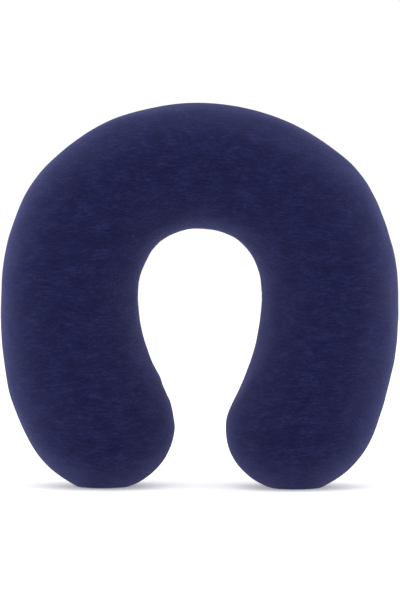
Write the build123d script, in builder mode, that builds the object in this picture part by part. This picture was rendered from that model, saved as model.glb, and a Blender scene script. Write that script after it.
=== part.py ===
"""U-shaped travel neck pillow, standing on the ends of its two legs.

The frame: +Z up, +X to the wearer's side, the domed front faces -Y, and the origin is on the surface that the
pillow stands on, below the middle of its bounding box. All lengths are millimetres and all angles degrees.

The pillow is a moulded foam core in a thin knitted liner, inside a zipped velour cover. The cover is two panels,
joined by one seam that runs round the whole U just behind its widest line. Their seam allowances stand inwards in
a groove of the core. Over the back of the neck the seam opens into a coil zipper on a true circular arc, so the
slider travels on a hinge about that arc's centre, and the pull swings on the slider's crown.
"""

from math import asin, cos, degrees, radians, sin, sqrt
import os

from build123d import *

os.makedirs("parts", exist_ok=True)

# Overall form
HEIGHT = 306.3  # floor to the top of the U
OPENING_TOP = 206.0  # floor to the top of the neck opening
FAN_CENTRE_Z = 148.0  # sections above this height fan out from here, those below it are level
WIDEST_Y = 6.0  # the widest line of every section lies in this plane
FRONT_DEPTH_NAPE = 51.5  # from the widest line to the front, at the top of the U
FRONT_DEPTH_CHEEK = 58.0  # the same, at the legs
BACK_DEPTH_NAPE = 40.5
BACK_DEPTH_CHEEK = 46.0
FOOT_ROUND = 42.0  # radius of the feet, seen from the side
FOOT_SINK = 4.0  # how far that round is flattened by the floor

# Outer outline, from the top down the right side: radius and turn of each tangent arc
OUTER_ARCS = ((175.0, 43.0), (85.0, 17.0), (179.0, 30.0), (300.0, 19.0), (95.0, 60.0))
# Inner outline, the same way, then a straight stretch and the rounded toe of the leg
INNER_ARCS = ((56.0, 27.0), (44.7, 63.0), (170.0, 22.0))
TOE_RADIUS = 49.0
TOE_CENTRE_Z = 47.0

# Sections of the loft
FAN_STEP = 11.25
LEG_STEPS = 9

# Layers, as depths below the outer surface
COVER = 1.5  # velour knit
LINER_TOP = 2.0
LINER = 0.5  # thin tricot
CORE_TOP = 2.8  # moulded foam
LABEL_TOP = 1.65
LABEL = 0.2

# Seam of the cover
SEAM_Y = 18.0
ALLOWANCE = 8.5  # depth that the turned-in edges reach
ALLOWANCE_PLY = 1.2
THREAD = 0.5
SEAM_STITCH_DEPTH = 3.0
GROOVE_HALF = 2.2  # half width of the liner's groove round the allowances
GROOVE_DEPTH = 9.6

# Zipper, in its own frame: u runs across the chain over the surface, v out of it
ZIP_TILT = 20.2  # the surface at the seam faces this far behind the radial direction
ZIP_RADIUS = 172.85  # radius of the seam line on the outer surface
ZIP_CENTRE_Z = HEIGHT - OUTER_ARCS[0][0]
SLOT_HALF = 4.3  # half the gap between the cover's lips
SLOT_ANGLE = 42.0  # the gap ends this far either side of the top
SEAM_ANGLE = 45.0  # the stitched seam starts here
HEM = 3.2  # two plies of velour at each lip
HEM_EDGE = 14.0
TAPE_TOP = 3.25
TAPE = 0.4
TAPE_EDGE = 0.7
TAPE_FAR_EDGE = 13.3
TAPE_ANGLE = 44.5
STITCH_ROWS = (6.5, 11.5)  # a loop of stitches holds each tape
STITCH_TOP = 3.75
COIL_INNER = 0.6
COIL_OUTER = 2.6
COIL_TOP = -1.3
CHAIN_ANGLE = 40.4
STOP_ANGLE = 0.7
STOP_GAP = 0.1
STOP_INNER = 0.3
STOP_OUTER = 3.0
STOP_BOTTOM = -4.3
RECESS_HALF = 14.8
RECESS_ANGLE = 46.0
RECESS_DEPTH = 6.5

# Slider and pull
SLIDER_ANGLE = 38.7  # the slider parks this far to the left of the top, and travels as far to the right
SLIDER_LENGTH = 8.6
SLIDER_HALF = 3.8
SLIDER_CORNER = 1.4
PLATE = 1.0
UPPER_PLATE_TOP = 0.0
LOWER_PLATE_TOP = -4.4
FLANGE = 0.8
FLANGE_BOTTOM = -2.9
POST_HALF = 0.3
POST_LENGTH = 2.6
CROWN_LENGTH = 6.4
CROWN_HALF = 0.8
CROWN_TOP = 2.8
WINDOW_LENGTH = 4.8
WINDOW_TOP = 1.95
PIVOT = 1.0
BAR_RADIUS = 0.6
ARM_INNER = 1.2
ARM_OUTER = 2.3
EYE_REACH = 4.2
PULL_LENGTH = 20.0
PULL_HALF = 2.9
PULL_HOLE = 1.1
PULL_REST_TILT = -2.0  # below zero, the tongue dips from the tangent of the chain towards the cloth

# Care label
LABEL_ANGLE = 54.0
LABEL_WIDTH = 24.0
LABEL_LENGTH = 34.0

BIG = 400.0


def side_outline(start, arcs):
    """Draws tangent arcs from start, first heading +X and always turning down, and returns the last one."""
    heading = (1, 0)
    for radius, turn in arcs:
        arc = JernArc(start=start, tangent=heading, radius=radius, arc_size=-turn)
        start, heading = arc @ 1, arc % 1
    return arc


def outline_face():
    """The pillow's outline in the XZ plane, cut off by the floor."""
    with BuildSketch(Plane.XZ) as outline:
        with BuildLine():
            inner = side_outline((0, OPENING_TOP), INNER_ARCS)
            lean = asin(-(inner % 1).X)
            drop = (inner @ 1).Y - TOE_RADIUS * sin(lean) - TOE_CENTRE_Z
            shin = PolarLine(inner @ 1, drop / cos(lean), direction=inner % 1)
            toe = JernArc(start=shin @ 1, tangent=shin % 1, radius=TOE_RADIUS, arc_size=90 + degrees(lean))
            outer = side_outline((0, HEIGHT), OUTER_ARCS)
            Line(outer @ 1, toe @ 1)
            Line((0, OPENING_TOP), (0, HEIGHT))
        make_face()
        mirror(about=Plane.YZ)
        with Locations((0, BIG / 2)):
            Rectangle(BIG, BIG, mode=Mode.INTERSECT)
    return outline.sketch


OUTLINE = outline_face()


def foot_depth(full, inset, height):
    """Depth of a level section at a height, for a full depth above the rounding of the foot."""
    centre = FOOT_ROUND - FOOT_SINK
    if height >= centre:
        return full - inset
    return full - FOOT_ROUND + sqrt((FOOT_ROUND - inset) ** 2 - (centre - height) ** 2)


def stations(inset):
    """Yields where to cut the form, from the left foot over the top to the right one: the start and direction
    of the cutting line in the XZ plane, the height at which a level section sits, and the share of the cheek's depth."""
    level = [(FAN_CENTRE_Z - inset) * (1 - sin(radians(90 * k / LEG_STEPS))) + inset for k in range(LEG_STEPS, 0, -1)]
    fan = int(90 / FAN_STEP)
    for z in level:
        yield Vector(0, 0, z), Vector(-1, 0, 0), z, 1.0
    for k in range(-fan, fan + 1):
        angle = radians(k * FAN_STEP)
        yield Vector(0, 0, FAN_CENTRE_Z), Vector(sin(angle), 0, cos(angle)), None, sin(angle) ** 2
    for z in reversed(level):
        yield Vector(0, 0, z), Vector(1, 0, 0), z, 1.0


def pillow_form(inset):
    """The pillow's outer form, drawn in by inset on every side, the floor's included."""
    outline = offset(OUTLINE, -inset, kind=Kind.INTERSECTION) if inset else OUTLINE
    with BuildPart() as form:
        for start, outward, height, cheek in stations(inset):
            lift = Vector(0, 0, 0.01) if height is not None else Vector(0, 0, 0)
            chord = Edge.make_line(start + lift, start + lift + outward * BIG)
            ends = sorted((chord & outline).vertices(), key=lambda v: (Vector(v) - start).length)
            near, far = Vector(ends[0]) - lift, Vector(ends[-1]) - lift
            half = (far - near).length / 2
            front = FRONT_DEPTH_NAPE + (FRONT_DEPTH_CHEEK - FRONT_DEPTH_NAPE) * cheek
            back = BACK_DEPTH_NAPE + (BACK_DEPTH_CHEEK - BACK_DEPTH_NAPE) * cheek
            where = BIG if height is None else height
            middle = (near + far) / 2 + Vector(0, WIDEST_Y, 0)
            with BuildSketch(Plane(middle, x_dir=outward, z_dir=outward.cross(Vector(0, 1, 0)))):
                with BuildLine():
                    EllipticalCenterArc((0, 0), half, foot_depth(back, inset, where), 0, arc_size=180)
                    EllipticalCenterArc((0, 0), half, foot_depth(front, inset, where), 180, arc_size=180)
                make_face()
        loft()
    return form.part


def slab(middle, half):
    """Everything within half of the upright plane at y = middle."""
    with BuildPart() as space:
        with Locations((0, middle, BIG / 2)):
            Box(BIG, 2 * half, 2 * BIG)
    return space.part


def zip_plane(angle):
    """The zipper's cross-section at an angle from the top: its x is u, its y is v, and its z runs along the chain."""
    turn = Location((0, 0, 0), (0, angle, 0))
    tilt = radians(ZIP_TILT)
    across = (turn * Pos(0, cos(tilt), -sin(tilt))).position
    along = (turn * Pos(1, 0, 0)).position
    top = (turn * Pos(0, 0, ZIP_RADIUS)).position
    return Plane(top + Vector(0, SEAM_Y, ZIP_CENTRE_Z), x_dir=across, z_dir=along)


def zip_sweep(start_angle, end_angle, u, v):
    """A bar of the zipper's cross-section: u and v are its ranges, swept between two angles."""
    with BuildPart() as bar:
        with BuildSketch(zip_plane(start_angle)):
            with Locations(((u[0] + u[1]) / 2, (v[0] + v[1]) / 2)):
                Rectangle(u[1] - u[0], v[1] - v[0])
        revolve(axis=Axis((0, 0, ZIP_CENTRE_Z), (0, 1, 0)), revolution_arc=end_angle - start_angle)
    return bar.part


def zip_zone(inner, outer, angle):
    """All that lies above or below a band of the zipper."""
    return zip_sweep(-angle, angle, (inner, outer), (-20, 8))


def core_form(inset):
    """The form under the cover, with the groove round the seam allowances and the recess round the zipper."""
    more = inset - LINER_TOP
    deep = pillow_form(GROOVE_DEPTH + more)
    floor = pillow_form(RECESS_DEPTH + more)
    half = RECESS_HALF + more
    with BuildPart() as core:
        add(pillow_form(inset))
        add(slab(SEAM_Y, GROOVE_HALF + more) - deep, mode=Mode.SUBTRACT)
        add(zip_zone(-half, half, RECESS_ANGLE + degrees(more / ZIP_RADIUS)) - floor, mode=Mode.SUBTRACT)
    return core.part


def seam_ring(top, middle, half):
    """A thread that runs right round the pillow, at a depth and beside the seam."""
    return (pillow_form(top) - pillow_form(top + THREAD)) & slab(middle, half)


FRONT = slab(SEAM_Y - BIG / 2, BIG / 2)
BACK = slab(SEAM_Y + BIG / 2, BIG / 2)

# Cover: two velour panels with hemmed lips along the zipper and turned-in edges along the seam
allowances = slab(SEAM_Y, ALLOWANCE_PLY) - pillow_form(ALLOWANCE) - zip_zone(-12, 12, SEAM_ANGLE)
hems = zip_zone(-HEM_EDGE, HEM_EDGE, TAPE_ANGLE) - pillow_form(HEM)
with BuildPart() as cover:
    add(pillow_form(0))
    add(pillow_form(COVER) - allowances - hems, mode=Mode.SUBTRACT)
    add(zip_zone(-SLOT_HALF, SLOT_HALF, SLOT_ANGLE), mode=Mode.SUBTRACT)

with BuildPart() as cover_front_panel:
    add(cover.part & FRONT)

with BuildPart() as cover_back_panel:
    add(cover.part & BACK)

with BuildPart() as cover_seam_thread:
    add(seam_ring(SEAM_STITCH_DEPTH, SEAM_Y - ALLOWANCE_PLY - THREAD / 2, THREAD / 2))
    add(zip_zone(-12, 12, SEAM_ANGLE), mode=Mode.SUBTRACT)

with BuildPart() as care_label:
    with Locations(Location((0, 0, FAN_CENTRE_Z), (0, LABEL_ANGLE, 0))):
        with Locations((0, SEAM_Y - ALLOWANCE_PLY - LABEL_LENGTH / 2, OUTER_ARCS[0][0])):
            Box(LABEL_WIDTH, LABEL_LENGTH, OUTER_ARCS[0][0] / 2)
    add(pillow_form(LABEL_TOP) - pillow_form(LABEL_TOP + LABEL), mode=Mode.INTERSECT)

# Liner and core
liner = core_form(LINER_TOP) - core_form(LINER_TOP + LINER)

with BuildPart() as liner_front_panel:
    add(liner & FRONT)

with BuildPart() as liner_back_panel:
    add(liner & BACK)

with BuildPart() as liner_seam_thread:
    add(seam_ring(GROOVE_DEPTH - THREAD, SEAM_Y, THREAD / 2))

with BuildPart() as foam_core:
    add(core_form(CORE_TOP))

# Zipper tapes, and the loops of stitches that hold them under the hems
tapes = pillow_form(TAPE_TOP) - pillow_form(TAPE_TOP + TAPE)
stitches = pillow_form(STITCH_TOP) - pillow_form(STITCH_TOP + THREAD)


def stitch_loop(side):
    """The stitches of one tape: two rows joined by a bar at each end."""
    rows = sorted(side * row for row in STITCH_ROWS)
    width = degrees(THREAD / ZIP_RADIUS)
    whole = zip_zone(rows[0], rows[1], SLOT_ANGLE + 2 * width)
    hole = zip_zone(rows[0] + THREAD, rows[1] - THREAD, SLOT_ANGLE + width)
    return stitches & (whole - hole)


with BuildPart() as zipper_tape_front:
    add(tapes & zip_zone(-TAPE_FAR_EDGE, -TAPE_EDGE, TAPE_ANGLE))

with BuildPart() as zipper_tape_back:
    add(tapes & zip_zone(TAPE_EDGE, TAPE_FAR_EDGE, TAPE_ANGLE))

with BuildPart() as zipper_stitching_front:
    add(stitch_loop(-1))

with BuildPart() as zipper_stitching_back:
    add(stitch_loop(1))

# Coils, each sewn along the edge of its tape
chain = CHAIN_ANGLE
both_tapes = zipper_tape_front.part + zipper_tape_back.part
under_tapes = pillow_form(TAPE_TOP + TAPE / 2)

with BuildPart() as zipper_coil_front:
    add(zip_sweep(-chain, chain, (-COIL_OUTER, -COIL_INNER), (-TAPE_TOP - TAPE, COIL_TOP)))
    add(under_tapes, mode=Mode.SUBTRACT)
    add(zipper_tape_front.part, mode=Mode.SUBTRACT)

with BuildPart() as zipper_coil_back:
    add(zip_sweep(-chain, chain, (COIL_INNER, COIL_OUTER), (-TAPE_TOP - TAPE, COIL_TOP)))
    add(under_tapes, mode=Mode.SUBTRACT)
    add(zipper_tape_back.part, mode=Mode.SUBTRACT)

# Stops, crimped round the tapes' edges past the ends of the coils
stop_start = chain + STOP_GAP
stop_end = stop_start + STOP_ANGLE

with BuildPart() as zipper_top_stop_front:
    add(zip_sweep(-stop_end, -stop_start, (-STOP_OUTER, -STOP_INNER), (STOP_BOTTOM, COIL_TOP)))
    add(zipper_tape_front.part, mode=Mode.SUBTRACT)

with BuildPart() as zipper_top_stop_back:
    add(zip_sweep(-stop_end, -stop_start, (STOP_INNER, STOP_OUTER), (STOP_BOTTOM, COIL_TOP)))
    add(zipper_tape_back.part, mode=Mode.SUBTRACT)

with BuildPart() as zipper_bottom_stop:
    add(zip_sweep(stop_start, stop_end, (-STOP_OUTER, STOP_OUTER), (STOP_BOTTOM, COIL_TOP)))
    add(both_tapes, mode=Mode.SUBTRACT)

# Slider: two plates round the chain, joined by a post at the end that faces the top stops
parked = zip_plane(-SLIDER_ANGLE)
lengthwise = Plane(parked.origin, x_dir=parked.z_dir, z_dir=-parked.x_dir)
from_above = Plane(parked.origin, x_dir=parked.z_dir, z_dir=parked.y_dir)
upper_plate_bottom = UPPER_PLATE_TOP - PLATE

with BuildPart() as zipper_slider:
    with BuildSketch(parked):
        for top in (UPPER_PLATE_TOP, LOWER_PLATE_TOP):
            with Locations((0, top - PLATE / 2)):
                Rectangle(2 * SLIDER_HALF, PLATE)
        for side in (-1, 1):
            with Locations((side * (SLIDER_HALF - FLANGE / 2), (UPPER_PLATE_TOP + FLANGE_BOTTOM) / 2)):
                Rectangle(FLANGE, UPPER_PLATE_TOP - FLANGE_BOTTOM)
    extrude(amount=SLIDER_LENGTH / 2, both=True)
    with BuildSketch(from_above.offset(LOWER_PLATE_TOP - PLATE)):
        RectangleRounded(SLIDER_LENGTH, 2 * SLIDER_HALF, SLIDER_CORNER)
    extrude(amount=UPPER_PLATE_TOP - LOWER_PLATE_TOP + PLATE, mode=Mode.INTERSECT)
    with BuildSketch(from_above.offset(LOWER_PLATE_TOP)):
        with Locations((POST_LENGTH / 2 + 0.4 - SLIDER_LENGTH / 2, 0)):
            SlotOverall(POST_LENGTH, 2 * POST_HALF)
    extrude(amount=upper_plate_bottom - LOWER_PLATE_TOP)
    with BuildSketch(lengthwise):
        with Locations((0, (UPPER_PLATE_TOP + CROWN_TOP) / 2)):
            Rectangle(CROWN_LENGTH, CROWN_TOP - UPPER_PLATE_TOP)
        with Locations((0, (UPPER_PLATE_TOP + WINDOW_TOP) / 2)):
            Rectangle(WINDOW_LENGTH, WINDOW_TOP - UPPER_PLATE_TOP, mode=Mode.SUBTRACT)
    extrude(amount=CROWN_HALF, both=True)

# Pull: an eye whose bar passes under the crown, and a flat tongue that hangs past the end of the zipper
hang = Pos(*(parked.origin + parked.y_dir * PIVOT))
rise = radians(PULL_REST_TILT)
tongue = -parked.z_dir * cos(rise) + parked.y_dir * sin(rise)
flat = Plane(hang.position, x_dir=tongue, z_dir=parked.x_dir.cross(tongue))

with BuildPart() as zipper_pull:
    with BuildSketch(flat):
        for side in (-1, 1):
            with Locations((EYE_REACH / 2, side * (ARM_INNER + ARM_OUTER) / 2)):
                Rectangle(EYE_REACH, ARM_OUTER - ARM_INNER)
        with Locations((EYE_REACH, 0)):
            Rectangle(3.0, 2 * ARM_OUTER, align=(Align.MIN, Align.CENTER))
            RectangleRounded(PULL_LENGTH - EYE_REACH, 2 * PULL_HALF, PULL_HALF - 0.1, align=(Align.MIN, Align.CENTER))
        with Locations((PULL_LENGTH - 4.0, 0)):
            Circle(PULL_HOLE, mode=Mode.SUBTRACT)
    extrude(amount=BAR_RADIUS, both=True)
    with BuildSketch(Plane(hang.position, z_dir=parked.x_dir)):
        Circle(BAR_RADIUS)
    extrude(amount=ARM_OUTER, both=True)

cover_front_panel.part.label = "cover_front_panel"
export_step(cover_front_panel.part, "parts/cover_front_panel.step")
cover_back_panel.part.label = "cover_back_panel"
export_step(cover_back_panel.part, "parts/cover_back_panel.step")
cover_seam_thread.part.label = "cover_seam_thread"
export_step(cover_seam_thread.part, "parts/cover_seam_thread.step")
care_label.part.label = "care_label"
export_step(care_label.part, "parts/care_label.step")
liner_front_panel.part.label = "liner_front_panel"
export_step(liner_front_panel.part, "parts/liner_front_panel.step")
liner_back_panel.part.label = "liner_back_panel"
export_step(liner_back_panel.part, "parts/liner_back_panel.step")
liner_seam_thread.part.label = "liner_seam_thread"
export_step(liner_seam_thread.part, "parts/liner_seam_thread.step")
foam_core.part.label = "foam_core"
export_step(foam_core.part, "parts/foam_core.step")
zipper_tape_front.part.label = "zipper_tape_front"
export_step(zipper_tape_front.part, "parts/zipper_tape_front.step")
zipper_tape_back.part.label = "zipper_tape_back"
export_step(zipper_tape_back.part, "parts/zipper_tape_back.step")
zipper_stitching_front.part.label = "zipper_stitching_front"
export_step(zipper_stitching_front.part, "parts/zipper_stitching_front.step")
zipper_stitching_back.part.label = "zipper_stitching_back"
export_step(zipper_stitching_back.part, "parts/zipper_stitching_back.step")
zipper_coil_front.part.label = "zipper_coil_front"
export_step(zipper_coil_front.part, "parts/zipper_coil_front.step")
zipper_coil_back.part.label = "zipper_coil_back"
export_step(zipper_coil_back.part, "parts/zipper_coil_back.step")
zipper_top_stop_front.part.label = "zipper_top_stop_front"
export_step(zipper_top_stop_front.part, "parts/zipper_top_stop_front.step")
zipper_top_stop_back.part.label = "zipper_top_stop_back"
export_step(zipper_top_stop_back.part, "parts/zipper_top_stop_back.step")
zipper_bottom_stop.part.label = "zipper_bottom_stop"
export_step(zipper_bottom_stop.part, "parts/zipper_bottom_stop.step")
zipper_slider.part.label = "zipper_slider"
export_step(zipper_slider.part, "parts/zipper_slider.step")
zipper_pull.part.label = "zipper_pull"
export_step(zipper_pull.part, "parts/zipper_pull.step")
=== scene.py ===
"""A U-shaped neck pillow in navy heathered velour, standing on the ends of its two legs.

The velour cover and the zipper's tapes, coils and stitches are made here, around the CAD's solids. The
slider, the pull, the stops, the label, the liner, the foam and the seam threads are the CAD's own solids
with materials on them. Lengths are in millimetres until a mesh is made, and in metres in the lights and
the camera.
"""

import math

import bmesh
import bpy
import numpy as np
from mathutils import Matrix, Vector
from mathutils.kdtree import KDTree


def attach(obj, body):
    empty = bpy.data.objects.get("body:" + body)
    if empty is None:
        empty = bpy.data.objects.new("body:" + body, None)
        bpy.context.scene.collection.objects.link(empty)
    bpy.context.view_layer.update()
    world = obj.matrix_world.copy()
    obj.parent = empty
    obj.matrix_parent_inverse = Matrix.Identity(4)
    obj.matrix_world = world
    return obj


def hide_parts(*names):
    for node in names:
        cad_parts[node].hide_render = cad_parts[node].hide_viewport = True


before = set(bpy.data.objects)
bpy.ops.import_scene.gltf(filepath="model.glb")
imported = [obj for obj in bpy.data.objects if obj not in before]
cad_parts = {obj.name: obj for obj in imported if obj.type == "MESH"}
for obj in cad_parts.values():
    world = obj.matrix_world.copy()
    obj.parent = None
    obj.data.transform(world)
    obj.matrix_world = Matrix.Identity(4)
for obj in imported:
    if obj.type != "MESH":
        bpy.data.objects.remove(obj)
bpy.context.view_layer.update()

MM = 0.001
DOWN = np.array([0, 0, -1.0])
BACKWARDS = np.array([0, 1.0, 0])

# ---------------------------------------------------------------- the form, as in the CAD, in millimetres
HEIGHT = 306.3
OPENING_TOP = 206.0
FAN_Z = 148.0  # the sections fan out from here above this height, and lie level below it
WIDEST_Y = 6.0
FRONT_NAPE, FRONT_CHEEK = 51.5, 58.0
BACK_NAPE, BACK_CHEEK = 40.5, 46.0
FOOT_ROUND, FOOT_SINK = 42.0, 4.0
OUTER_ARCS = ((175.0, 43.0), (85.0, 17.0), (179.0, 30.0), (300.0, 19.0), (95.0, 60.0))  # radius, degrees
INNER_ARCS = ((56.0, 27.0), (44.7, 63.0), (170.0, 22.0))
TOE_RADIUS, TOE_Z = 49.0, 47.0
SEAM_Y = 18.0

# The zipper: a circular arc over the back of the neck. Its parts lie across (u) and out of (v) the surface.
ZIP_Z = HEIGHT - OUTER_ARCS[0][0]
ZIP_RADIUS = 172.85
ZIP_TILT = math.radians(20.2)
ZIP_CENTRE = np.array([0, SEAM_Y, ZIP_Z])
SLOT_HALF, SLOT_ANGLE = 4.3, 42.0
TAPE_TOP, TAPE = 3.25, 0.4
TAPE_EDGE, TAPE_FAR_EDGE, TAPE_ANGLE = 0.7, 13.3, 44.5
CHAIN_ANGLE = 40.4
STITCH_U = 6.5

# The panels' grids.
FRONT, BACK = 0, 1
FRONT_COLUMNS, BACK_COLUMNS = 64, 40
FAN_STATIONS, LEG_STATIONS = 145, 45
SECTION_STEPS = 600  # each section is drawn this finely before its points are spaced evenly
CLOTH_APART = 60.0  # the two panels lie this far apart in the flat cloth, so that their streaks differ
SOLE_ROWS = 7
SOLE_GROOVE = 1.2  # the seam across each sole lies this far above the floor
FLAP_CLEARANCE = 1.6
LABEL_PLACE = np.array([141.0, 8.0, 251.0])


def walk(start, turn, arcs):
    """Points along tangent arcs: heading turns by each arc's degrees, positive to the left."""
    points = [np.array(start, float)]
    for radius, degrees in arcs:
        steps = max(2, int(abs(degrees) * 3))
        left = math.copysign(1.0, degrees)
        centre = points[-1] + left * radius * np.array([-math.sin(turn), math.cos(turn)])
        for k in range(1, steps + 1):
            a = turn + math.radians(degrees) * k / steps
            points.append(centre + left * radius * np.array([math.sin(a), -math.cos(a)]))
        turn += math.radians(degrees)
    return points, turn


def outlines():
    """The right half's outer and inner outlines, from the top down to the feet, as x and z."""
    outer, _ = walk((0, HEIGHT), 0.0, [(r, -a) for r, a in OUTER_ARCS])
    inner, turn = walk((0, OPENING_TOP), 0.0, [(r, -a) for r, a in INNER_ARCS])
    heading = np.array([math.cos(turn), math.sin(turn)])
    lean = math.asin(-heading[0])
    drop = inner[-1][1] - TOE_RADIUS * math.sin(lean) - TOE_Z
    inner.append(inner[-1] + heading * drop / math.cos(lean))
    toe, _ = walk(inner[-1], turn, [(TOE_RADIUS, 90 + math.degrees(lean))])
    return np.array(outer), np.array(inner + toe[1:])


OUTER, INNER = outlines()


def hit(line, start, way):
    """Distance from start along way to the first crossing of a line of points."""
    tiny, slack = 1e-12, 1e-9
    a = line[:-1] - start
    d = line[1:] - line[:-1]
    cross = way[0] * d[:, 1] - way[1] * d[:, 0]
    cross = np.where(np.abs(cross) < tiny, tiny, cross)
    along = (a[:, 0] * d[:, 1] - a[:, 1] * d[:, 0]) / cross
    share = (a[:, 0] * way[1] - a[:, 1] * way[0]) / cross
    good = (share >= -slack) & (share <= 1 + slack) & (along > 0)
    return along[good].min()


def foot_depth(full, z):
    """A section's depth at height z, less than the full one where the foot is rounded."""
    centre = FOOT_ROUND - FOOT_SINK
    if z >= centre:
        return full
    return full - FOOT_ROUND + math.sqrt(FOOT_ROUND**2 - (centre - z) ** 2)


def station(p):
    """The section at p: -2 is the left sole, -1 the left end of the fan, 0 the top, and 1 and 2 are the same
    on the right. Gives its middle and its way outwards as x and z, its half width, and its two depths."""
    side = -1.0 if p < 0 else 1.0
    q = abs(p)
    if q <= 1:
        angle = math.radians(90 * q)
        start, z = np.array([0, FAN_Z]), math.inf
        way = np.array([math.sin(angle), math.cos(angle)])
        cheek = math.sin(angle) ** 2
    else:
        z = FAN_Z * (1 - math.sin(math.radians(90 * (q - 1))))
        start, way = np.array([0, z]), np.array([1.0, 0.0])
        cheek = 1.0
    near, far = hit(INNER, start, way), hit(OUTER, start, way)
    middle = start + way * (near + far) / 2
    front = foot_depth(FRONT_NAPE + (FRONT_CHEEK - FRONT_NAPE) * cheek, z)
    back = foot_depth(BACK_NAPE + (BACK_CHEEK - BACK_NAPE) * cheek, z)
    mirror = np.array([side, 1.0])
    return middle * mirror, way * mirror, (far - near) / 2, front, back


def ring(p):
    """The section at p as two runs of evenly spaced points: over the front from the outer seam to the inner
    one, and on over the back. A run holds the points' places across and in y, their normals, their distances
    along the run, and their places across the cloth laid flat."""
    middle, way, half, front, back = station(p)
    seam = math.asin((SEAM_Y - WIDEST_Y) / back)
    over_front = (-seam, math.pi + seam, FRONT_COLUMNS, 1)
    over_back = (math.pi + seam, 2 * math.pi - seam, BACK_COLUMNS, -1)
    runs = []
    for low, high, count, sign in (over_front, over_back):
        turn = np.linspace(low, high, SECTION_STEPS)
        depth = np.where(np.sin(turn) >= 0, front, back)
        across, y = half * np.cos(turn), WIDEST_Y - depth * np.sin(turn)
        distance = np.concatenate([[0], np.cumsum(np.hypot(np.diff(across), np.diff(y)))])
        even = np.linspace(0, distance[-1], count + 1)
        even_turn = np.interp(even, distance, turn)
        even_depth = np.where(np.sin(even_turn) >= 0, front, back)
        normal_across, normal_y = np.cos(even_turn) / half, -np.sin(even_turn) / even_depth
        size = np.hypot(normal_across, normal_y)
        places = np.interp(even, distance, across), np.interp(even, distance, y)
        flat = sign * (distance[-1] / 2 - even)
        runs.append((*places, normal_across / size, normal_y / size, even, flat))
    return middle, way, runs


def smooth(low, high, x):
    """0 at low, 1 at high, and an even S-shaped curve between them."""
    t = np.clip((x - low) / (high - low), 0, 1)
    return t * t * (3 - 2 * t)


def stations():
    """The places of all sections, from the left sole over the top to the right one."""
    leg = 1 + np.linspace(0, 1, LEG_STATIONS)[1:]
    return np.concatenate([-leg[::-1], np.linspace(-1, 1, FAN_STATIONS), leg])


STATIONS = stations()


def panel_grid(which):
    """Rows by columns of one panel's points, normals, flat cloth places and distances, from seam to seam."""
    rows = []
    for p in STATIONS:
        middle, way, runs = ring(p)
        across, y, normal_across, normal_y, distance, flat = runs[which]
        point = np.stack([middle[0] + way[0] * across, y, middle[1] + way[1] * across], 1)
        normal = np.stack([way[0] * normal_across, normal_y, way[1] * normal_across], 1)
        apart = np.full_like(across, CLOTH_APART * which)
        laid = np.stack([middle[0] + way[0] * flat, apart, middle[1] + way[1] * flat], 1)
        rows.append((point, normal, laid, distance))
    return [np.array(grid) for grid in zip(*rows)]


def sole_row(rim, laid, run, share):
    """One row of a sole, this share of the way from the rim to the straight seam line across the sole."""
    line = rim[0] + (rim[-1] - rim[0]) * ((run - run[0]) / (run[-1] - run[0]))[:, None]
    point = rim * (1 - share) + line * share
    point[:, 2] = SOLE_GROOVE if share == 1 else 0.0
    normal = np.broadcast_to(DOWN, point.shape)
    lower = laid + DOWN * np.linalg.norm(point - rim, axis=1)[:, None]
    return point, normal, lower, run


def add_soles(point, normal, laid, run):
    """Adds the rows that close each leg end, from the section's rim to the seam line across the sole."""
    shares = [k / SOLE_ROWS for k in range(1, SOLE_ROWS + 1)]
    left = [sole_row(point[0], laid[0], run[0], share) for share in reversed(shares)]
    right = [sole_row(point[-1], laid[-1], run[-1], share) for share in shares]
    grids = []
    for k, body in enumerate((point, normal, laid, run)):
        grids.append(np.concatenate([[row[k] for row in left], body, [row[k] for row in right]]))
    return grids


# ---------------------------------------------------------------- the zipper's own frame
def zip_out(angle):
    """The way out of the surface, square to the chain, at an angle in degrees from the top."""
    angle = math.radians(angle)
    radial = np.array([math.sin(angle), 0, math.cos(angle)])
    return math.cos(ZIP_TILT) * radial + math.sin(ZIP_TILT) * BACKWARDS


def zip_angle(points):
    """Degrees from the top about the zipper's centre."""
    return np.degrees(np.arctan2(points[..., 0], points[..., 2] - ZIP_Z))


def open_share(points):
    """1 where the cover is open along the zipper, 0 where it is sewn."""
    return 1 - smooth(SLOT_ANGLE - 0.3, SLOT_ANGLE + 0.9, np.abs(zip_angle(points)))


def zip_point(angle, u, v):
    """Points from angles in degrees and offsets across and out of the surface."""
    angle, u, v = np.broadcast_arrays(np.radians(np.asarray(angle, float)), u, v)
    radial = np.stack([np.sin(angle), 0 * angle, np.cos(angle)], -1)
    across = math.cos(ZIP_TILT) * BACKWARDS - math.sin(ZIP_TILT) * radial
    out = math.cos(ZIP_TILT) * radial + math.sin(ZIP_TILT) * BACKWARDS
    return ZIP_CENTRE + ZIP_RADIUS * radial + across * u[..., None] + out * v[..., None]


def fan_table():
    """Sections of the fan at angles in degrees: the middle's reach from its centre, half width and depths."""
    widest = 62
    angles = np.linspace(-widest, widest, 4 * widest + 1)
    rows = []
    for angle in angles:
        middle, _, half, front, back = station(angle / 90)
        rows.append((math.hypot(middle[0], middle[1] - FAN_Z), half, front, back))
    return angles, np.array(rows)


FAN_ANGLES, FAN_ROWS = fan_table()


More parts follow.
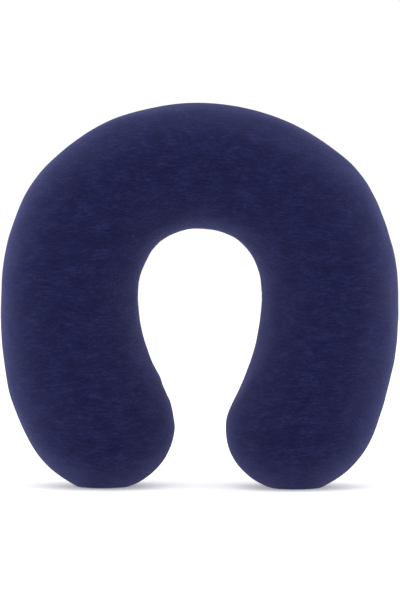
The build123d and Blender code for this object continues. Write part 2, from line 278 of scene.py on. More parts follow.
def surface_v(angle, u):
    """How far the outer surface lies above the zipper's plane, by halving the interval that holds it."""
    angle, u = np.broadcast_arrays(np.asarray(angle, float), np.asarray(u, float))
    low, high = np.full(angle.shape, -9.0), np.full(angle.shape, 3.0)
    for _ in range(26):
        v = (low + high) / 2
        point = zip_point(angle, u, v)
        fan = np.degrees(np.arctan2(point[..., 0], point[..., 2] - FAN_Z))
        reach = np.hypot(point[..., 0], point[..., 2] - FAN_Z)
        middle, half, front, back = (np.interp(fan, FAN_ANGLES, FAN_ROWS[:, k]) for k in range(4))
        y = point[..., 1] - WIDEST_Y
        depth = np.where(y < 0, front, back)
        inside = ((reach - middle) / half) ** 2 + (y / depth) ** 2 < 1
        low, high = np.where(inside, v, low), np.where(inside, high, v)
    return (low + high) / 2


# ---------------------------------------------------------------- small helpers
def make_object(name, verts, faces):
    """A smooth-shaded mesh object in the scene."""
    mesh = bpy.data.meshes.new(name)
    mesh.from_pydata(np.asarray(verts, float).tolist(), [], [tuple(int(i) for i in f) for f in faces])
    mesh.validate()
    mesh.update()
    mesh.polygons.foreach_set("use_smooth", [True] * len(mesh.polygons))
    obj = bpy.data.objects.new(name, mesh)
    bpy.context.scene.collection.objects.link(obj)
    return obj


def put_vectors(mesh, name, values):
    """Stores one vector on every vertex, for the materials to read."""
    made = mesh.attributes.new(name, "FLOAT_VECTOR", "POINT")
    made.data.foreach_set("vector", np.asarray(values, np.float32).ravel())


def read_places(mesh):
    """A mesh's vertices as an array."""
    flat = np.empty(len(mesh.vertices) * 3)
    mesh.vertices.foreach_get("co", flat)
    return flat.reshape(-1, 3)


def weld(mesh, distance):
    """Joins vertices that lie within a distance, drops faces with no area, and turns all faces one way."""
    work = bmesh.new()
    work.from_mesh(mesh)
    bmesh.ops.remove_doubles(work, verts=work.verts, dist=distance)
    bmesh.ops.dissolve_degenerate(work, edges=work.edges, dist=1e-6)
    bmesh.ops.recalc_face_normals(work, faces=work.faces)
    work.to_mesh(mesh)
    work.free()


def grid_faces(rows, columns, first=0):
    """The squares of a grid whose vertices are numbered row by row from first."""
    r, c = np.meshgrid(np.arange(rows - 1), np.arange(columns - 1), indexing="ij")
    a = first + r * columns + c
    return np.stack([a, a + 1, a + columns + 1, a + columns], -1).reshape(-1, 4)


def wave(points, seed, scale, octaves):
    """Smooth random values over points, from sums of sines in seeded directions."""
    finer, weaker, sines, level = 1.9, 0.6, 5, 2.2
    local = np.random.default_rng(seed)
    total = np.zeros(points.shape[:-1])
    size = 0.0
    for k in range(octaves):
        for _ in range(sines):
            way = local.normal(size=3)
            way /= np.linalg.norm(way)
            freq = 2 * math.pi / (scale / finer**k) * local.uniform(0.75, 1.3)
            total += weaker**k * np.sin(points @ way * freq + local.uniform(0, 2 * math.pi))
        size += weaker**k
    return total / (size * level)


# ---------------------------------------------------------------- the soft surface
# Places where this pillow's soft form departs from the mirror-symmetric one.
# Centre, size and shift, each in x and z.
BULGES = (
    ((-150, 72), (38, 30), (-3.8, 0)),
    ((-28, 82), (26, 30), (2.0, 0)),
    ((30, 84), (26, 34), (1.0, 0)),
    ((-125, 20), (30, 26), (-2.6, 0)),
    ((-44, 14), (22, 22), (-1.2, 0)),
    ((125, 22), (30, 30), (2.6, 0)),
    ((152, 100), (30, 50), (1.0, 0)),
    ((-46, 178), (16, 20), (2.4, 0)),
    ((46, 180), (16, 20), (-1.5, 0)),
    ((-66, 286), (34, 26), (-0.8, 1.0)),
    ((12, 306), (60, 24), (0, -0.9)),
    ((92, 270), (34, 28), (-0.8, -0.8)),
    ((-145, 160), (30, 60), (-0.9, 0)),
    ((-158, 118), (20, 24), (-1.5, 0)),
)
# Where the zipper's stretch of the seam is held: y, reach from its centre, and degrees, from free to held.
HELD_Y, HELD_REACH, HELD_ANGLE = (9, 15), (140, 160), (46, 56)


def relax(point):
    """Applies the bulges. The seam keeps its true arc along the zipper, and the soles stay on the floor."""
    reach = np.hypot(point[..., 0], point[..., 2] - ZIP_Z)
    held = smooth(*HELD_Y, point[..., 1]) * smooth(*HELD_REACH, reach)
    free = 1 - held * (1 - smooth(*HELD_ANGLE, np.abs(zip_angle(point))))
    moved = point.copy()
    for (x, z), (wide, tall), (dx, dz) in BULGES:
        share = np.exp(-(((point[..., 0] - x) / wide) ** 2) - ((point[..., 2] - z) / tall) ** 2) * free
        moved[..., 0] += dx * share
        moved[..., 2] += dz * share * smooth(0, 12, point[..., 2])
    return moved


def shape_panel(which):
    """One panel's grids, its outer edge drawn back from the seam to the zipper's lip by sliding every column
    along the section. Also how open the cover is at each row."""
    point, normal, laid, run = panel_grid(which)
    share = open_share(point[:, :1] if which == FRONT else point[:, -1:])
    slot = SLOT_HALF * share
    length = run[:, -1:]
    moved = run * (length - slot) / length
    if which == FRONT:
        moved = slot + moved
    for k in range(len(point)):
        for grid in (point, normal, laid):
            for axis in range(3):
                grid[k, :, axis] = np.interp(moved[k], run[k], grid[k, :, axis])
    normal /= np.linalg.norm(normal, axis=-1, keepdims=True)
    return point, normal, laid, moved, share


def seam_gaps(which, run):
    """Distances along the section to the outer seam or lip, and to the inner seam."""
    first, last = run - run[:, :1], run[:, -1:] - run
    return (first, last) if which == FRONT else (last, first)


COARSE = 2  # the simulated cloth takes every second row and column
CLOTH_FRAMES = 22
CLOTH_GROWTH = 0.035
START_INSET, HELD_INSET = 2.2, 1.6  # how far inside the form the free and the held cloth start
CAP_IN, CAP_OUT = -0.8, 0.9


def sleeve_faces(rows, wide, narrow):
    """Faces of a closed sleeve: the front grid, the back grid, the seam between them, and the two ends."""
    second = rows * wide
    faces = [*grid_faces(rows, wide), *grid_faces(rows, narrow, second)]
    for k in range(rows - 1):
        a, b = k * wide, (k + 1) * wide
        c, d = second + k * narrow + narrow - 1, second + (k + 1) * narrow + narrow - 1
        faces.append((a, b, d, c))
    for row in (0, rows - 1):
        front_edge = [row * wide + j for j in range(wide)]
        faces.append(tuple(front_edge + [second + row * narrow + j for j in range(1, narrow)]))
    return faces


def add_cloth(sleeve, held_group):
    """Cloth blown up by even pressure, without weight."""
    cloth = sleeve.modifiers.new("cloth", "CLOTH")
    setting = cloth.settings
    setting.quality = 5
    setting.mass = 0.25
    setting.tension_stiffness = setting.compression_stiffness = 12
    setting.shear_stiffness = 4
    setting.bending_stiffness = 0.25
    setting.vertex_group_mass = held_group
    setting.use_pressure = True
    setting.uniform_pressure_force = 4.0
    setting.shrink_min = -CLOTH_GROWTH
    setting.effector_weights.gravity = 0
    cloth.collision_settings.use_collision = False
    cloth.point_cache.frame_start = 1
    cloth.point_cache.frame_end = CLOTH_FRAMES


def inflate(shapes):
    """Blows up a closed sleeve of cloth that is held at its seams and soles. Returns how far it swells
    outwards from the form, on each panel's own coarse grid."""
    points, normals, starts, fixed = [], [], [], []
    for point, normal, *_ in shapes:
        point, normal = relax(point)[::COARSE, ::COARSE], normal[::COARSE, ::COARSE]
        held = np.zeros((*point.shape[:2], 1))
        held[:, 0] = held[:, -1] = held[0] = held[-1] = 1
        points.append(point)
        normals.append(normal)
        starts.append(point - normal * START_INSET * (1 - held) - normal * HELD_INSET * held)
        fixed.append(held.ravel())
    rows, wide = points[FRONT].shape[:2]
    verts = np.concatenate([start.reshape(-1, 3) for start in starts])
    sleeve = make_object("sleeve", verts * MM, sleeve_faces(rows, wide, points[BACK].shape[1]))
    group = sleeve.vertex_groups.new(name="held")
    group.add([int(i) for i in np.where(np.concatenate(fixed) > 0)[0]], 1.0, "REPLACE")
    weld(sleeve.data, 1e-5)
    rest = read_places(sleeve.data)
    add_cloth(sleeve, group.name)
    scene = bpy.context.scene
    for k in range(1, CLOTH_FRAMES + 1):
        scene.frame_set(k)
    blown = read_places(sleeve.evaluated_get(bpy.context.evaluated_depsgraph_get()).data)
    scene.frame_set(1)
    tree = KDTree(len(rest))
    for k, place in enumerate(rest):
        tree.insert(place, k)
    tree.balance()
    lifts = []
    for point, normal, start in zip(points, normals, starts):
        index = np.array([tree.find(x)[1] for x in start.reshape(-1, 3) * MM])
        change = (blown[index] / MM - point.reshape(-1, 3)).reshape(point.shape)
        lifts.append(np.sum(change * normal, -1))
    bpy.data.objects.remove(sleeve, do_unlink=True)
    # Keep the sections' own size: only what varies along the pillow stays.
    return [np.clip(blur(lift - np.median(lift, axis=0)), CAP_IN, CAP_OUT) for lift in lifts]


def blur(grid, passes=4):
    """Averages a grid's values in place with their neighbours, along the pillow and across it."""
    for _ in range(passes):
        for axis in (0, 1):
            line = np.moveaxis(grid, axis, 0)
            line[1:-1] = (line[:-2] + 2 * line[1:-1] + line[2:]) / 4
    return grid


def spread(coarse, rows, columns):
    """A coarse grid's values on the fine one."""
    coarse_rows, coarse_columns = (np.arange(size) for size in coarse.shape)
    r = np.linspace(0, coarse_rows[-1], rows)
    c = np.linspace(0, coarse_columns[-1], columns)
    tall = np.array([np.interp(r, coarse_rows, coarse[:, j]) for j in coarse_columns]).T
    return np.array([np.interp(c, coarse_columns, row) for row in tall])


# The cloth's relief. Heights are out of the form, and gaps are distances from a seam.
SEAM_DIP, SEAM_DIP_WIDTH = 1.9, 1.5
PUCKER, PUCKER_LENGTH, PUCKER_SEED = 0.5, 9.0, 11
PUCKER_GAP_OUTER, PUCKER_GAP_INNER = 9.0, 10.0  # puckers fade out over these gaps
PUCKER_BY_ZIPPER = 0.35  # beside the zipper they have this share of their height
PUCKER_STRETCH = np.array([1, 0.25, 1])
GATHER, GATHER_LENGTH, GATHER_SEED = 1.6, 8.0, 31
GATHER_GAP, GATHER_GAP_REACH = 9, 9
GATHER_Z, GATHER_Z_REACH = 74, 26
GATHER_STRETCH = np.array([0.5, 0.2, 1])
SOFT, SOFT_LENGTH, SOFT_SEED = 0.45, 60.0, 21  # slow unevenness all over
FREE_GAP = 8.0  # it and the swell fade out this near a seam
DEEPEST, DEEPEST_BY_SEAM, BY_SEAM = -0.9, -4.0, 2.0
OVER_LABEL, LABEL_REACH = -0.5, (30, 18)
STITCH_DIP, STITCH_DIP_WIDTH = 0.45, 1.1
CURL_LEFT, CURL_RIGHT = 1.5, 0.6
CURL_Y, CURL_Z = (-4, -40), (34, 6)


def velour_panel(which, shape, swell):
    """One panel's grids with the cloth's relief: seam dips, puckers, gathers, swell and curled feet."""
    point, normal, laid, run, share = shape
    outer_gap, inner_gap = seam_gaps(which, run)
    nearest = np.minimum(outer_gap, inner_gap)
    sewn_outer = 1 - np.broadcast_to(share, outer_gap.shape)
    # The cloth dips into the sewn seam, and puckers a little beside it.
    dip = -SEAM_DIP * (np.exp(-outer_gap / SEAM_DIP_WIDTH) * sewn_outer + np.exp(-inner_gap / SEAM_DIP_WIDTH))
    by_zipper = PUCKER_BY_ZIPPER + (1 - PUCKER_BY_ZIPPER) * sewn_outer
    near = np.exp(-outer_gap / PUCKER_GAP_OUTER) * by_zipper + np.exp(-inner_gap / PUCKER_GAP_INNER)
    ripple = wave(point * PUCKER_STRETCH, PUCKER_SEED + which, PUCKER_LENGTH, 2)
    pucker = ripple * near * (1 - np.exp(-nearest / 2.0))
    # The cloth gathers most where the left leg curves in.
    by_height = ((point[..., 2] - GATHER_Z) / GATHER_Z_REACH) ** 2
    gather = np.exp(-(((inner_gap - GATHER_GAP) / GATHER_GAP_REACH) ** 2) - by_height) * (point[..., 0] < 0)
    pucker = pucker + GATHER * gather * wave(point * GATHER_STRETCH, GATHER_SEED, GATHER_LENGTH, 2)
    soft = wave(point, SOFT_SEED, SOFT_LENGTH, 2) * SOFT
    free = 1 - np.exp(-((nearest / FREE_GAP) ** 2))
    lift = dip + PUCKER * pucker + soft * free
    if swell is not None:
        lift = lift + spread(swell, *lift.shape) * free
    # The liner lies close below, so the cloth dips deeper only right at a seam.
    lift = np.maximum(lift, np.where(nearest > BY_SEAM, DEEPEST, DEEPEST_BY_SEAM))
    # The care label lies just under the front panel here, so the cloth stays up over it.
    if which == FRONT:
        over_label = smooth(*LABEL_REACH, np.linalg.norm(point - LABEL_PLACE, axis=-1))
        lift = lift * (1 - over_label) + np.maximum(lift, OVER_LABEL) * over_label
    # Stitching draws the hem down beside the zipper.
    stitch_line = np.exp(-(((outer_gap - STITCH_U + SLOT_HALF) / STITCH_DIP_WIDTH) ** 2)) * share
    point = relax(point) + normal * (lift - STITCH_DIP * stitch_line)[..., None]
    # The front edge of each foot curls up from the floor, the left one more.
    curl = np.where(point[..., 0] < 0, CURL_LEFT, CURL_RIGHT)
    point[..., 2] += curl * smooth(*CURL_Y, point[..., 1]) * smooth(*CURL_Z, point[..., 2])
    point, normal, laid, _ = add_soles(point, normal, laid, run)
    point[..., 2] = np.maximum(point[..., 2], 0.0)
    return point, normal, laid, share


# The columns inside an edge: how deep, and how far from the other panel at a seam or towards it at a lip.
SEAM_STEPS = ((2.4, 0.05), (5.0, 0.1), (8.0, 0.1))
LIP_STEPS = ((0.9, 0.2), (2.3, 0.2), (3.1, -1.2))


def turned_in(point, normal, laid, open_rows, side, towards):
    """Columns that carry a panel's edge inwards: into the seam, or round the hem of a zipper lip."""
    edge, out = point[:, side], normal[:, side]
    made, flat = [], []
    for (depth, back), (lip_depth, lip_out) in zip(SEAM_STEPS, LIP_STEPS):
        down = depth * (1 - open_rows) + lip_depth * open_rows
        over = -back * (1 - open_rows) + lip_out * open_rows
        inside = edge - out * down + towards * over
        inside[:, 2] = np.maximum(inside[:, 2], FLAP_CLEARANCE + 0.5 * depth)
        made.append(inside)
        flat.append(laid[:, side] + towards * down)
    return np.stack(made, 1), np.stack(flat, 1)


def build_panel(name, which, shape, swell):
    """One velour panel as a mesh, its edges turned in at the seams and at the zipper."""
    point, normal, laid, share = velour_panel(which, shape, swell)
    pad = np.zeros((SOLE_ROWS, 1))
    share = np.concatenate([pad, share, pad])
    towards = BACKWARDS if which == FRONT else -BACKWARDS
    first_open, last_open = (share, share * 0) if which == FRONT else (share * 0, share)
    first, first_flat = turned_in(point, normal, laid, first_open, 0, towards)
    last, last_flat = turned_in(point, normal, laid, last_open, -1, towards)
    grid = np.concatenate([first[:, ::-1], point, last], 1)
    flat = np.concatenate([first_flat[:, ::-1], laid, last_flat], 1)
    obj = make_object(name, grid.reshape(-1, 3) * MM, grid_faces(*grid.shape[:2]))
    put_vectors(obj.data, "cloth", flat.reshape(-1, 3) * MM)
    weld(obj.data, 2e-5)
    # Face outwards: the crown of the panel must look away from the pillow's middle.
    middle_y = 0.012
    look = sum((f.center.y - middle_y) * f.normal.y * f.area for f in obj.data.polygons)
    if look < 0:
        obj.data.flip_normals()
    return obj


# ---------------------------------------------------------------- materials
def node_material(name):
    """A new material, its node tree and its shader."""
    material = bpy.data.materials.new(name)
    material.use_nodes = True
    tree = material.node_tree
    return material, tree, tree.nodes["Principled BSDF"]


def cloth_place(tree):
    """Each point's place on the cloth laid flat."""
    place = tree.nodes.new("ShaderNodeAttribute")
    place.attribute_name = "cloth"
    return place.outputs["Vector"]


def object_place(tree):
    """Each point's place in the object's own frame."""
    return tree.nodes.new("ShaderNodeTexCoord").outputs["Object"]


def scaled(tree, source, scale):
    """A place stretched along each axis, for a texture to read."""
    mapping = tree.nodes.new("ShaderNodeMapping")
    mapping.inputs["Scale"].default_value = scale
    tree.links.new(source, mapping.inputs["Vector"])
    return mapping.outputs["Vector"]


def noise(tree, vector, detail, roughness):
    """Even noise of about one blob to each unit of the place that it is given."""
    node = tree.nodes.new("ShaderNodeTexNoise")
    node.inputs["Scale"].default_value = 1.0
    node.inputs["Detail"].default_value = detail
    node.inputs["Roughness"].default_value = roughness
    tree.links.new(vector, node.inputs["Vector"])
    return node.outputs["Fac"]


def ramp(tree, value, stops):
    """Colours at places from 0 to 1, blended between."""
    node = tree.nodes.new("ShaderNodeValToRGB")
    elements = node.color_ramp.elements
    while len(elements) < len(stops):
        elements.new(0.5)
    for element, (place, colour) in zip(elements, stops):
        element.position = place
        element.color = (*colour, 1)
    tree.links.new(value, node.inputs["Fac"])
    return node.outputs["Color"]


def math_node(tree, operation, *values):
    """One sum on numbers or on other nodes' outputs."""
    node = tree.nodes.new("ShaderNodeMath")
    node.operation = operation
    for socket, value in zip(node.inputs, values):
        if isinstance(value, (int, float)):
            socket.default_value = value
        else:
            tree.links.new(value, socket)
    return node.outputs[0]


def blend(tree, first, second, share):
    """This share of the first value and the rest of the second."""
    return math_node(tree, "MULTIPLY_ADD", first, share, math_node(tree, "MULTIPLY", second, 1 - share))


def add_bump(tree, shader, height, strength, distance):
    """Fine relief, its distance in metres."""
    bump = tree.nodes.new("ShaderNodeBump")
    bump.inputs["Strength"].default_value = strength
    bump.inputs["Distance"].default_value = distance
    tree.links.new(height, bump.inputs["Height"])
    tree.links.new(bump.outputs["Normal"], shader.inputs["Normal"])


def srgb(r, g, b):
    """A linear colour from display values of 0 to 255."""
    return tuple(((c / 255 + 0.055) / 1.055) ** 2.4 if c > 10 else c / 255 / 12.92 for c in (r, g, b))


def velour():
    """Navy heathered velour: streaks that lie along the cloth's rows, and a fine pile."""
    material, tree, shader = node_material("velour")
    place = cloth_place(tree)
    # Slow noise bends the streaks.
    bend = tree.nodes.new("ShaderNodeTexNoise")
    bend.inputs["Scale"].default_value = 24
    bend.inputs["Detail"].default_value = 2
    tree.links.new(place, bend.inputs["Vector"])
    shift = tree.nodes.new("ShaderNodeVectorMath")
    shift.operation = "MULTIPLY_ADD"
    shift.inputs[1].default_value = (0.004, 0.004, 0.014)
    tree.links.new(bend.outputs["Color"], shift.inputs[0])
    tree.links.new(place, shift.inputs[2])
    cloth = shift.outputs["Vector"]
    streak = noise(tree, scaled(tree, cloth, (210, 210, 900)), 3.0, 0.65)
    long_streak = noise(tree, scaled(tree, cloth, (80, 80, 380)), 2.0, 0.5)
    pile = noise(tree, scaled(tree, cloth, (900, 900, 1100)), 2.0, 0.6)
    cloud = noise(tree, scaled(tree, cloth, (60, 60, 90)), 2.0, 0.5)
    mix = blend(tree, cloud, blend(tree, pile, blend(tree, long_streak, streak, 0.30), 0.30), 0.20)
    dark, middle, light = srgb(0, 0, 36), srgb(8, 9, 45), srgb(24, 25, 63)
    colour = ramp(tree, mix, ((0.40, dark), (0.50, middle), (0.60, light)))
    tree.links.new(colour, shader.inputs["Base Color"])
    shader.inputs["Roughness"].default_value = 0.95
    shader.inputs["Specular IOR Level"].default_value = 0.1
    shader.inputs["Sheen Weight"].default_value = 0.215
    shader.inputs["Sheen Roughness"].default_value = 0.60
    shader.inputs["Sheen Tint"].default_value = (0.40, 0.42, 1.0, 1)
    add_bump(tree, shader, blend(tree, pile, streak, 0.6), 0.6, 0.0007)
    return material


def woven(name, dark, light):
    """Fine twill of polyester yarn."""
    material, tree, shader = node_material(name)
    place = cloth_place(tree)
    twill = tree.nodes.new("ShaderNodeTexWave")
    twill.wave_type = "BANDS"
    twill.bands_direction = "DIAGONAL"
    twill.inputs["Scale"].default_value = 1.0
    twill.inputs["Distortion"].default_value = 0.6
    tree.links.new(scaled(tree, place, (1600, 1600, 0)), twill.inputs["Vector"])
    grain = noise(tree, scaled(tree, place, (900, 2200, 900)), 2.0, 0.6)
    mix = blend(tree, twill.outputs["Fac"], grain, 0.55)
    tree.links.new(ramp(tree, mix, ((0.25, dark), (0.75, light))), shader.inputs["Base Color"])
    shader.inputs["Roughness"].default_value = 0.75
    shader.inputs["Sheen Weight"].default_value = 0.15
    add_bump(tree, shader, mix, 0.5, 0.0002)
    return material


def thread_material(name, dark, light, twist=2600):
    """Twisted spun thread."""
    material, tree, shader = node_material(name)
    ply = noise(tree, scaled(tree, object_place(tree), (twist, twist, twist)), 2.0, 0.6)
    tree.links.new(ramp(tree, ply, ((0.35, dark), (0.65, light))), shader.inputs["Base Color"])
    shader.inputs["Roughness"].default_value = 0.7
    add_bump(tree, shader, ply, 0.4, 0.00015)
    return material


def moulded(name, dark, light, roughness=0.42):
    """Nylon or foam with slight mottling."""
    material, tree, shader = node_material(name)
    grain = noise(tree, scaled(tree, object_place(tree), (700, 700, 700)), 3.0, 0.55)
    tree.links.new(ramp(tree, grain, ((0.3, dark), (0.7, light))), shader.inputs["Base Color"])
    tree.links.new(math_node(tree, "MULTIPLY_ADD", grain, 0.25, roughness - 0.12), shader.inputs["Roughness"])
    return material


def metal(name, dark, light, metallic, roughness, worn=None):
    """Die-cast metal, bare or enamelled, with fine scratches and, with worn given, chips of that colour."""
    material, tree, shader = node_material(name)
    place = object_place(tree)
    grain = noise(tree, scaled(tree, place, (900, 900, 900)), 4.0, 0.6)
    scratch = noise(tree, scaled(tree, place, (400, 3200, 400)), 2.0, 0.5)
    mix = blend(tree, grain, scratch, 0.6)
    colour = ramp(tree, mix, ((0.3, dark), (0.7, light)))
    if worn:
        spots = noise(tree, scaled(tree, place, (520, 520, 520)), 5.0, 0.7)
        chips = tree.nodes.new("ShaderNodeMix")
        chips.data_type = "RGBA"
        tree.links.new(ramp(tree, spots, ((0.62, (0, 0, 0)), (0.68, (1, 1, 1)))), chips.inputs["Factor"])
        tree.links.new(colour, chips.inputs["A"])
        chips.inputs["B"].default_value = (*worn, 1)
        colour = chips.outputs["Result"]
    tree.links.new(colour, shader.inputs["Base Color"])
    shader.inputs["Metallic"].default_value = metallic
    tree.links.new(math_node(tree, "MULTIPLY_ADD", mix, 0.2, roughness - 0.1), shader.inputs["Roughness"])
    return material


def paper():
    """White paper that glows a little, so that the shadows on it stay pale."""
    material, tree, shader = node_material("paper")
    grain = noise(tree, scaled(tree, object_place(tree), (300, 300, 300)), 3.0, 0.6)
    dark, light = (0.86, 0.86, 0.875), (0.88, 0.88, 0.895)
    tree.links.new(ramp(tree, grain, ((0.3, dark), (0.7, light))), shader.inputs["Base Color"])
    shader.inputs["Roughness"].default_value = 0.8
    shader.inputs["Emission Color"].default_value = (0.96, 0.96, 1.0, 1)
    shader.inputs["Emission Strength"].default_value = 0.3
    return material


VELOUR = velour()
TAPE_CLOTH = woven("zipper tape", srgb(13, 14, 44), srgb(34, 36, 78))
THREAD = thread_material("thread", srgb(20, 22, 58), srgb(52, 55, 102))
NYLON = moulded("coil nylon", srgb(14, 15, 42), srgb(26, 28, 62))
PEWTER = metal("stop metal", (0.13, 0.13, 0.14), (0.24, 0.24, 0.26), 1.0, 0.42)
ENAMEL = metal("enamel", srgb(10, 11, 36), srgb(17, 18, 50), 0.0, 0.38, worn=(0.10, 0.10, 0.13))
FOAM = moulded("foam", (0.62, 0.56, 0.38), (0.74, 0.68, 0.50), 0.9)
TRICOT = thread_material("tricot", (0.60, 0.60, 0.58), (0.78, 0.78, 0.75), 1400)
PALE_THREAD = thread_material("pale thread", (0.62, 0.62, 0.60), (0.80, 0.80, 0.77))


# ---------------------------------------------------------------- the cover
VELOUR_THICKNESS = 1.4


def add_panel(name, node, which, shape, swell):
    """One padded panel of the cover, in place of the CAD's plain one."""
    panel = build_panel(name, which, shape, swell)
    panel.data.materials.append(VELOUR)
    thick = panel.modifiers.new("thickness", "SOLIDIFY")
    thick.thickness = VELOUR_THICKNESS * MM
    thick.offset = -1
    smoother = panel.modifiers.new("smooth", "SUBSURF")
    smoother.levels = smoother.render_levels = 1
    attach(panel, "pillow")
    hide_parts(node)


shapes = [shape_panel(FRONT), shape_panel(BACK)]
swells = inflate(shapes)
add_panel("velour_front", "cover_front_panel", FRONT, shapes[FRONT], swells[FRONT])
add_panel("velour_back", "cover_back_panel", BACK, shapes[BACK], swells[BACK])


# ---------------------------------------------------------------- zipper
TAPE_ROWS, TAPE_COLUMNS = 241, 15
TAPE_SINK = 0.02  # the woven strip lies this far below the CAD's plain one
COIL_PITCH, WIRE = 1.5, 0.29
COIL_MIDDLE, COIL_REACH = 1.05, 1.5  # the windings' middle, and how far they reach to each side of it
COIL_V, COIL_RISE = -2.28, 0.62
COIL_INSET = 2.3
COIL_STEPS = 14  # points to each turn
STITCH_STEP, STITCH_GAP, STITCH_RADIUS = 3.1, 0.7, 0.27
STITCH_ARCH, STITCH_SINK, STITCH_V = 0.16, 0.35, -0.18
STITCH_END = 1.3  # degrees past the slot
CROSS_STITCHES, CROSS_LENGTH = (0.3, 3.4), 2.6
TUBE_SIDES = 8


def add_to_pillow(piece, node, material):
    """Puts a made piece on the pillow in place of a CAD node."""
    piece.data.materials.append(material)
    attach(piece, "pillow")
    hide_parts(node)


def tape(name, node, side):
    """A woven strip that follows the cover's surface under the lips."""
    angles = np.linspace(-TAPE_ANGLE, TAPE_ANGLE, TAPE_ROWS)
    across = np.linspace(TAPE_EDGE, TAPE_FAR_EDGE, TAPE_COLUMNS) * side
    grid_angle, grid_u = np.meshgrid(angles, across, indexing="ij")
    top = surface_v(grid_angle, grid_u) - TAPE_TOP - TAPE_SINK
    flat = np.stack([np.radians(grid_angle) * ZIP_RADIUS, grid_u, 0 * grid_u], -1)
    points = zip_point(grid_angle, grid_u, top)
    faces = grid_faces(*grid_u.shape)
    if side > 0:
        faces = faces[:, ::-1]
    strip = make_object(name, points.reshape(-1, 3) * MM, faces)
    put_vectors(strip.data, "cloth", flat.reshape(-1, 3) * MM)
    thick = strip.modifiers.new("thickness", "SOLIDIFY")
    thick.thickness = TAPE * MM
    thick.offset = -1
    if np.mean([f.normal.z for f in strip.data.polygons]) < 0:
        strip.data.flip_normals()
    add_to_pillow(strip, node, TAPE_CLOTH)


def tube(path, normals, radius):
    """Vertices and faces of a round tube along a path, with one vector beside the path at every point."""
    sides = TUBE_SIDES
    tangent = np.gradient(path, axis=0)
    tangent /= np.linalg.norm(tangent, axis=1, keepdims=True)
    beside = normals - tangent * np.sum(normals * tangent, axis=1, keepdims=True)
    beside /= np.linalg.norm(beside, axis=1, keepdims=True)
    other = np.cross(tangent, beside)
    turn = np.linspace(0, 2 * math.pi, sides, endpoint=False)
    radius = np.broadcast_to(radius, len(path))[:, None, None]
    offsets = beside[:, None] * np.cos(turn)[None, :, None] + other[:, None] * np.sin(turn)[None, :, None]
    verts = (path[:, None] + radius * offsets).reshape(-1, 3)
    faces = []
    for k in range(len(path) - 1):
        for j in range(sides):
            a, b = k * sides + j, k * sides + (j + 1) % sides
            faces.append((a, b, b + sides, a + sides))
    faces.append(tuple(range(sides))[::-1])
    faces.append(tuple(range((len(path) - 1) * sides, len(path) * sides)))
    return verts, faces


def squared(x):
    """Flattens the peaks of a sine or cosine."""
    return np.sign(x) * np.abs(x) ** 0.7


def coil(name, node, side):
    """One nylon coil, wound flat, whose heads reach past the middle between those of the other coil."""
    length = 2 * math.radians(CHAIN_ANGLE) * (ZIP_RADIUS - COIL_INSET)
    steps = int(length / COIL_PITCH) * COIL_STEPS
    k = np.arange(steps + 1)
    phase = 2 * math.pi * k / COIL_STEPS + (math.pi if side > 0 else 0)
    angle = -CHAIN_ANGLE + 2 * CHAIN_ANGLE * k / steps
    u = side * (COIL_MIDDLE - COIL_REACH * squared(np.cos(phase)))
    v = COIL_V + COIL_RISE * squared(np.sin(phase))
    every_turn = angle[::COIL_STEPS]
    lift = np.interp(angle, every_turn, surface_v(every_turn, 0.0))
    path = zip_point(angle, u, v + np.minimum(lift, 0.05))
    inner = zip_point(angle, side * COIL_MIDDLE, COIL_V)
    verts, faces = tube(path, path - inner, WIRE)
    add_to_pillow(make_object(name, verts * MM, faces), node, NYLON)


def stitch(start, end, out):
    """One stitch: a short arch of thread whose ends dive into the cloth."""
    t = np.linspace(0, 1, 9)
    arch = np.sin(math.pi * t)
    path = start + (end - start) * t[:, None]
    path = path + out * (STITCH_ARCH * arch - STITCH_SINK * (2 * np.abs(t - 0.5)) ** 6)[:, None]
    return tube(path, np.broadcast_to(out, path.shape), STITCH_RADIUS * (0.75 + 0.25 * arch))


def stitches(name, node, side):
    """The row of stitches beside the zipper, turned in to the seam at each end."""
    step = math.degrees(STITCH_STEP / ZIP_RADIUS)
    gap = math.degrees(STITCH_GAP / ZIP_RADIUS)
    end = SLOT_ANGLE + STITCH_END
    places = np.arange(-end, end - step, step)
    runs = [(a, side * STITCH_U, a + step - gap, side * STITCH_U) for a in places]
    for angle in (-end, end):
        for u in CROSS_STITCHES:
            runs.append((angle, side * u, angle, side * (u + CROSS_LENGTH)))
    verts, faces, count = [], [], 0
    for a, ua, b, ub in runs:
        start, stop = (zip_point(x, u, surface_v(x, u) + STITCH_V) for x, u in ((a, ua), (b, ub)))
        made, sides = stitch(start, stop, zip_out((a + b) / 2))
        verts.append(made)
        faces += [tuple(i + count for i in f) for f in sides]
        count += len(made)
    add_to_pillow(make_object(name, np.concatenate(verts) * MM, faces), node, THREAD)


tape("tape_front", "zipper_tape_front", -1)
tape("tape_back", "zipper_tape_back", 1)
coil("coil_front", "zipper_coil_front", -1)
coil("coil_back", "zipper_coil_back", 1)
stitches("stitches_front", "zipper_stitching_front", -1)
stitches("stitches_back", "zipper_stitching_back", 1)

# ---------------------------------------------------------------- materials on the CAD's own solids
DRESS = {
    "zipper_slider": ENAMEL,
    "zipper_pull": ENAMEL,
    "zipper_top_stop_front": PEWTER,
    "zipper_top_stop_back": PEWTER,
    "zipper_bottom_stop": PEWTER,
    "cover_seam_thread": THREAD,
    "care_label": TRICOT,
    "liner_front_panel": TRICOT,
    "liner_back_panel": TRICOT,
    "liner_seam_thread": PALE_THREAD,
    "foam_core": FOAM,
}
for node, material in DRESS.items():
    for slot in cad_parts[node].material_slots:
        slot.material = material

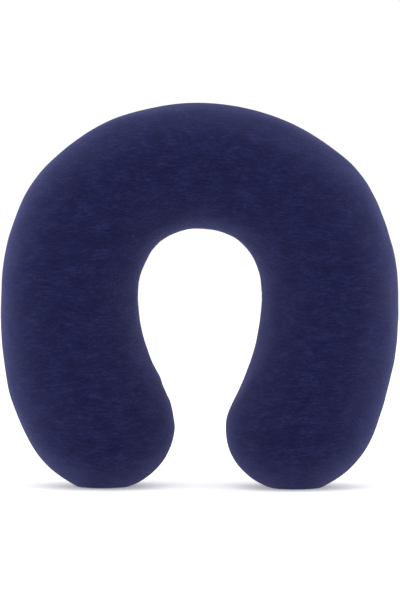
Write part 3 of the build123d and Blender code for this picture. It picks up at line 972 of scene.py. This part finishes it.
# ---------------------------------------------------------------- camera, floor and light, in metres
IMAGE_HEIGHT = 600
METRES_PER_PIXEL = 0.000799
SENSOR = 36
CAMERA_DISTANCE = 2.6
CAMERA_AZIMUTH = math.radians(3.0)
CAMERA_HEIGHT = 0.22
AIM = Vector((0.0003, 0.006, 0.1490))
FLOOR_REACH = 4.0
WORLD_STRENGTH = 1.04
# Name, place, what it is aimed at, width and height, and watts.
LIGHTS = (
    ("top light", (0, -0.4, 1.9), (0, 0, 0.15), (1.8, 1.8), 16),
    ("left light", (-1.7, -1.2, 0.9), (0, 0, 0.15), (1.0, 1.4), 4),
    ("low fill", (-0.3, -2.2, 0.10), (0, 0, 0.17), (2.2, 0.5), 8),
    ("right light", (1.7, -1.2, 0.9), (0, 0, 0.15), (1.0, 1.4), 1.5),
)


def look_at(place, aim):
    """The turn that points a camera or a light at its aim."""
    return (Vector(aim) - Vector(place)).to_track_quat("-Z", "Y").to_euler()


def add_camera():
    """A long lens that looks slightly down on the front, a little from the right."""
    data = bpy.data.cameras.new("camera")
    data.lens = SENSOR * CAMERA_DISTANCE / (IMAGE_HEIGHT * METRES_PER_PIXEL)
    camera = bpy.data.objects.new("camera", data)
    bpy.context.scene.collection.objects.link(camera)
    camera.location = AIM + Vector((math.sin(CAMERA_AZIMUTH), -math.cos(CAMERA_AZIMUTH), 0)) * CAMERA_DISTANCE
    camera.location.z = CAMERA_HEIGHT
    camera.rotation_euler = look_at(camera.location, AIM)
    bpy.context.scene.camera = camera


def add_floor():
    """A wide sheet of paper under the pillow."""
    corners = ((-1, -1, 0), (1, -1, 0), (1, 1, 0), (-1, 1, 0))
    floor = make_object("floor", np.array(corners) * FLOOR_REACH, [(0, 1, 2, 3)])
    floor.data.materials.append(paper())


def add_light(name, place, aim, size, watts):
    """A rectangular softbox."""
    data = bpy.data.lights.new(name, "AREA")
    data.shape = "RECTANGLE"
    data.size, data.size_y = size
    data.energy = watts
    lamp = bpy.data.objects.new(name, data)
    bpy.context.scene.collection.objects.link(lamp)
    lamp.location = place
    lamp.rotation_euler = look_at(place, aim)


def add_world():
    """Even white light from all round, which is also the background."""
    world = bpy.data.worlds.new("studio")
    world.use_nodes = True
    background = world.node_tree.nodes["Background"]
    background.inputs["Color"].default_value = (1, 1, 1, 1)
    background.inputs["Strength"].default_value = WORLD_STRENGTH
    bpy.context.scene.world = world


add_camera()
add_floor()
for light in LIGHTS:
    add_light(*light)
add_world()
bpy.context.scene.view_settings.view_transform = "Standard"
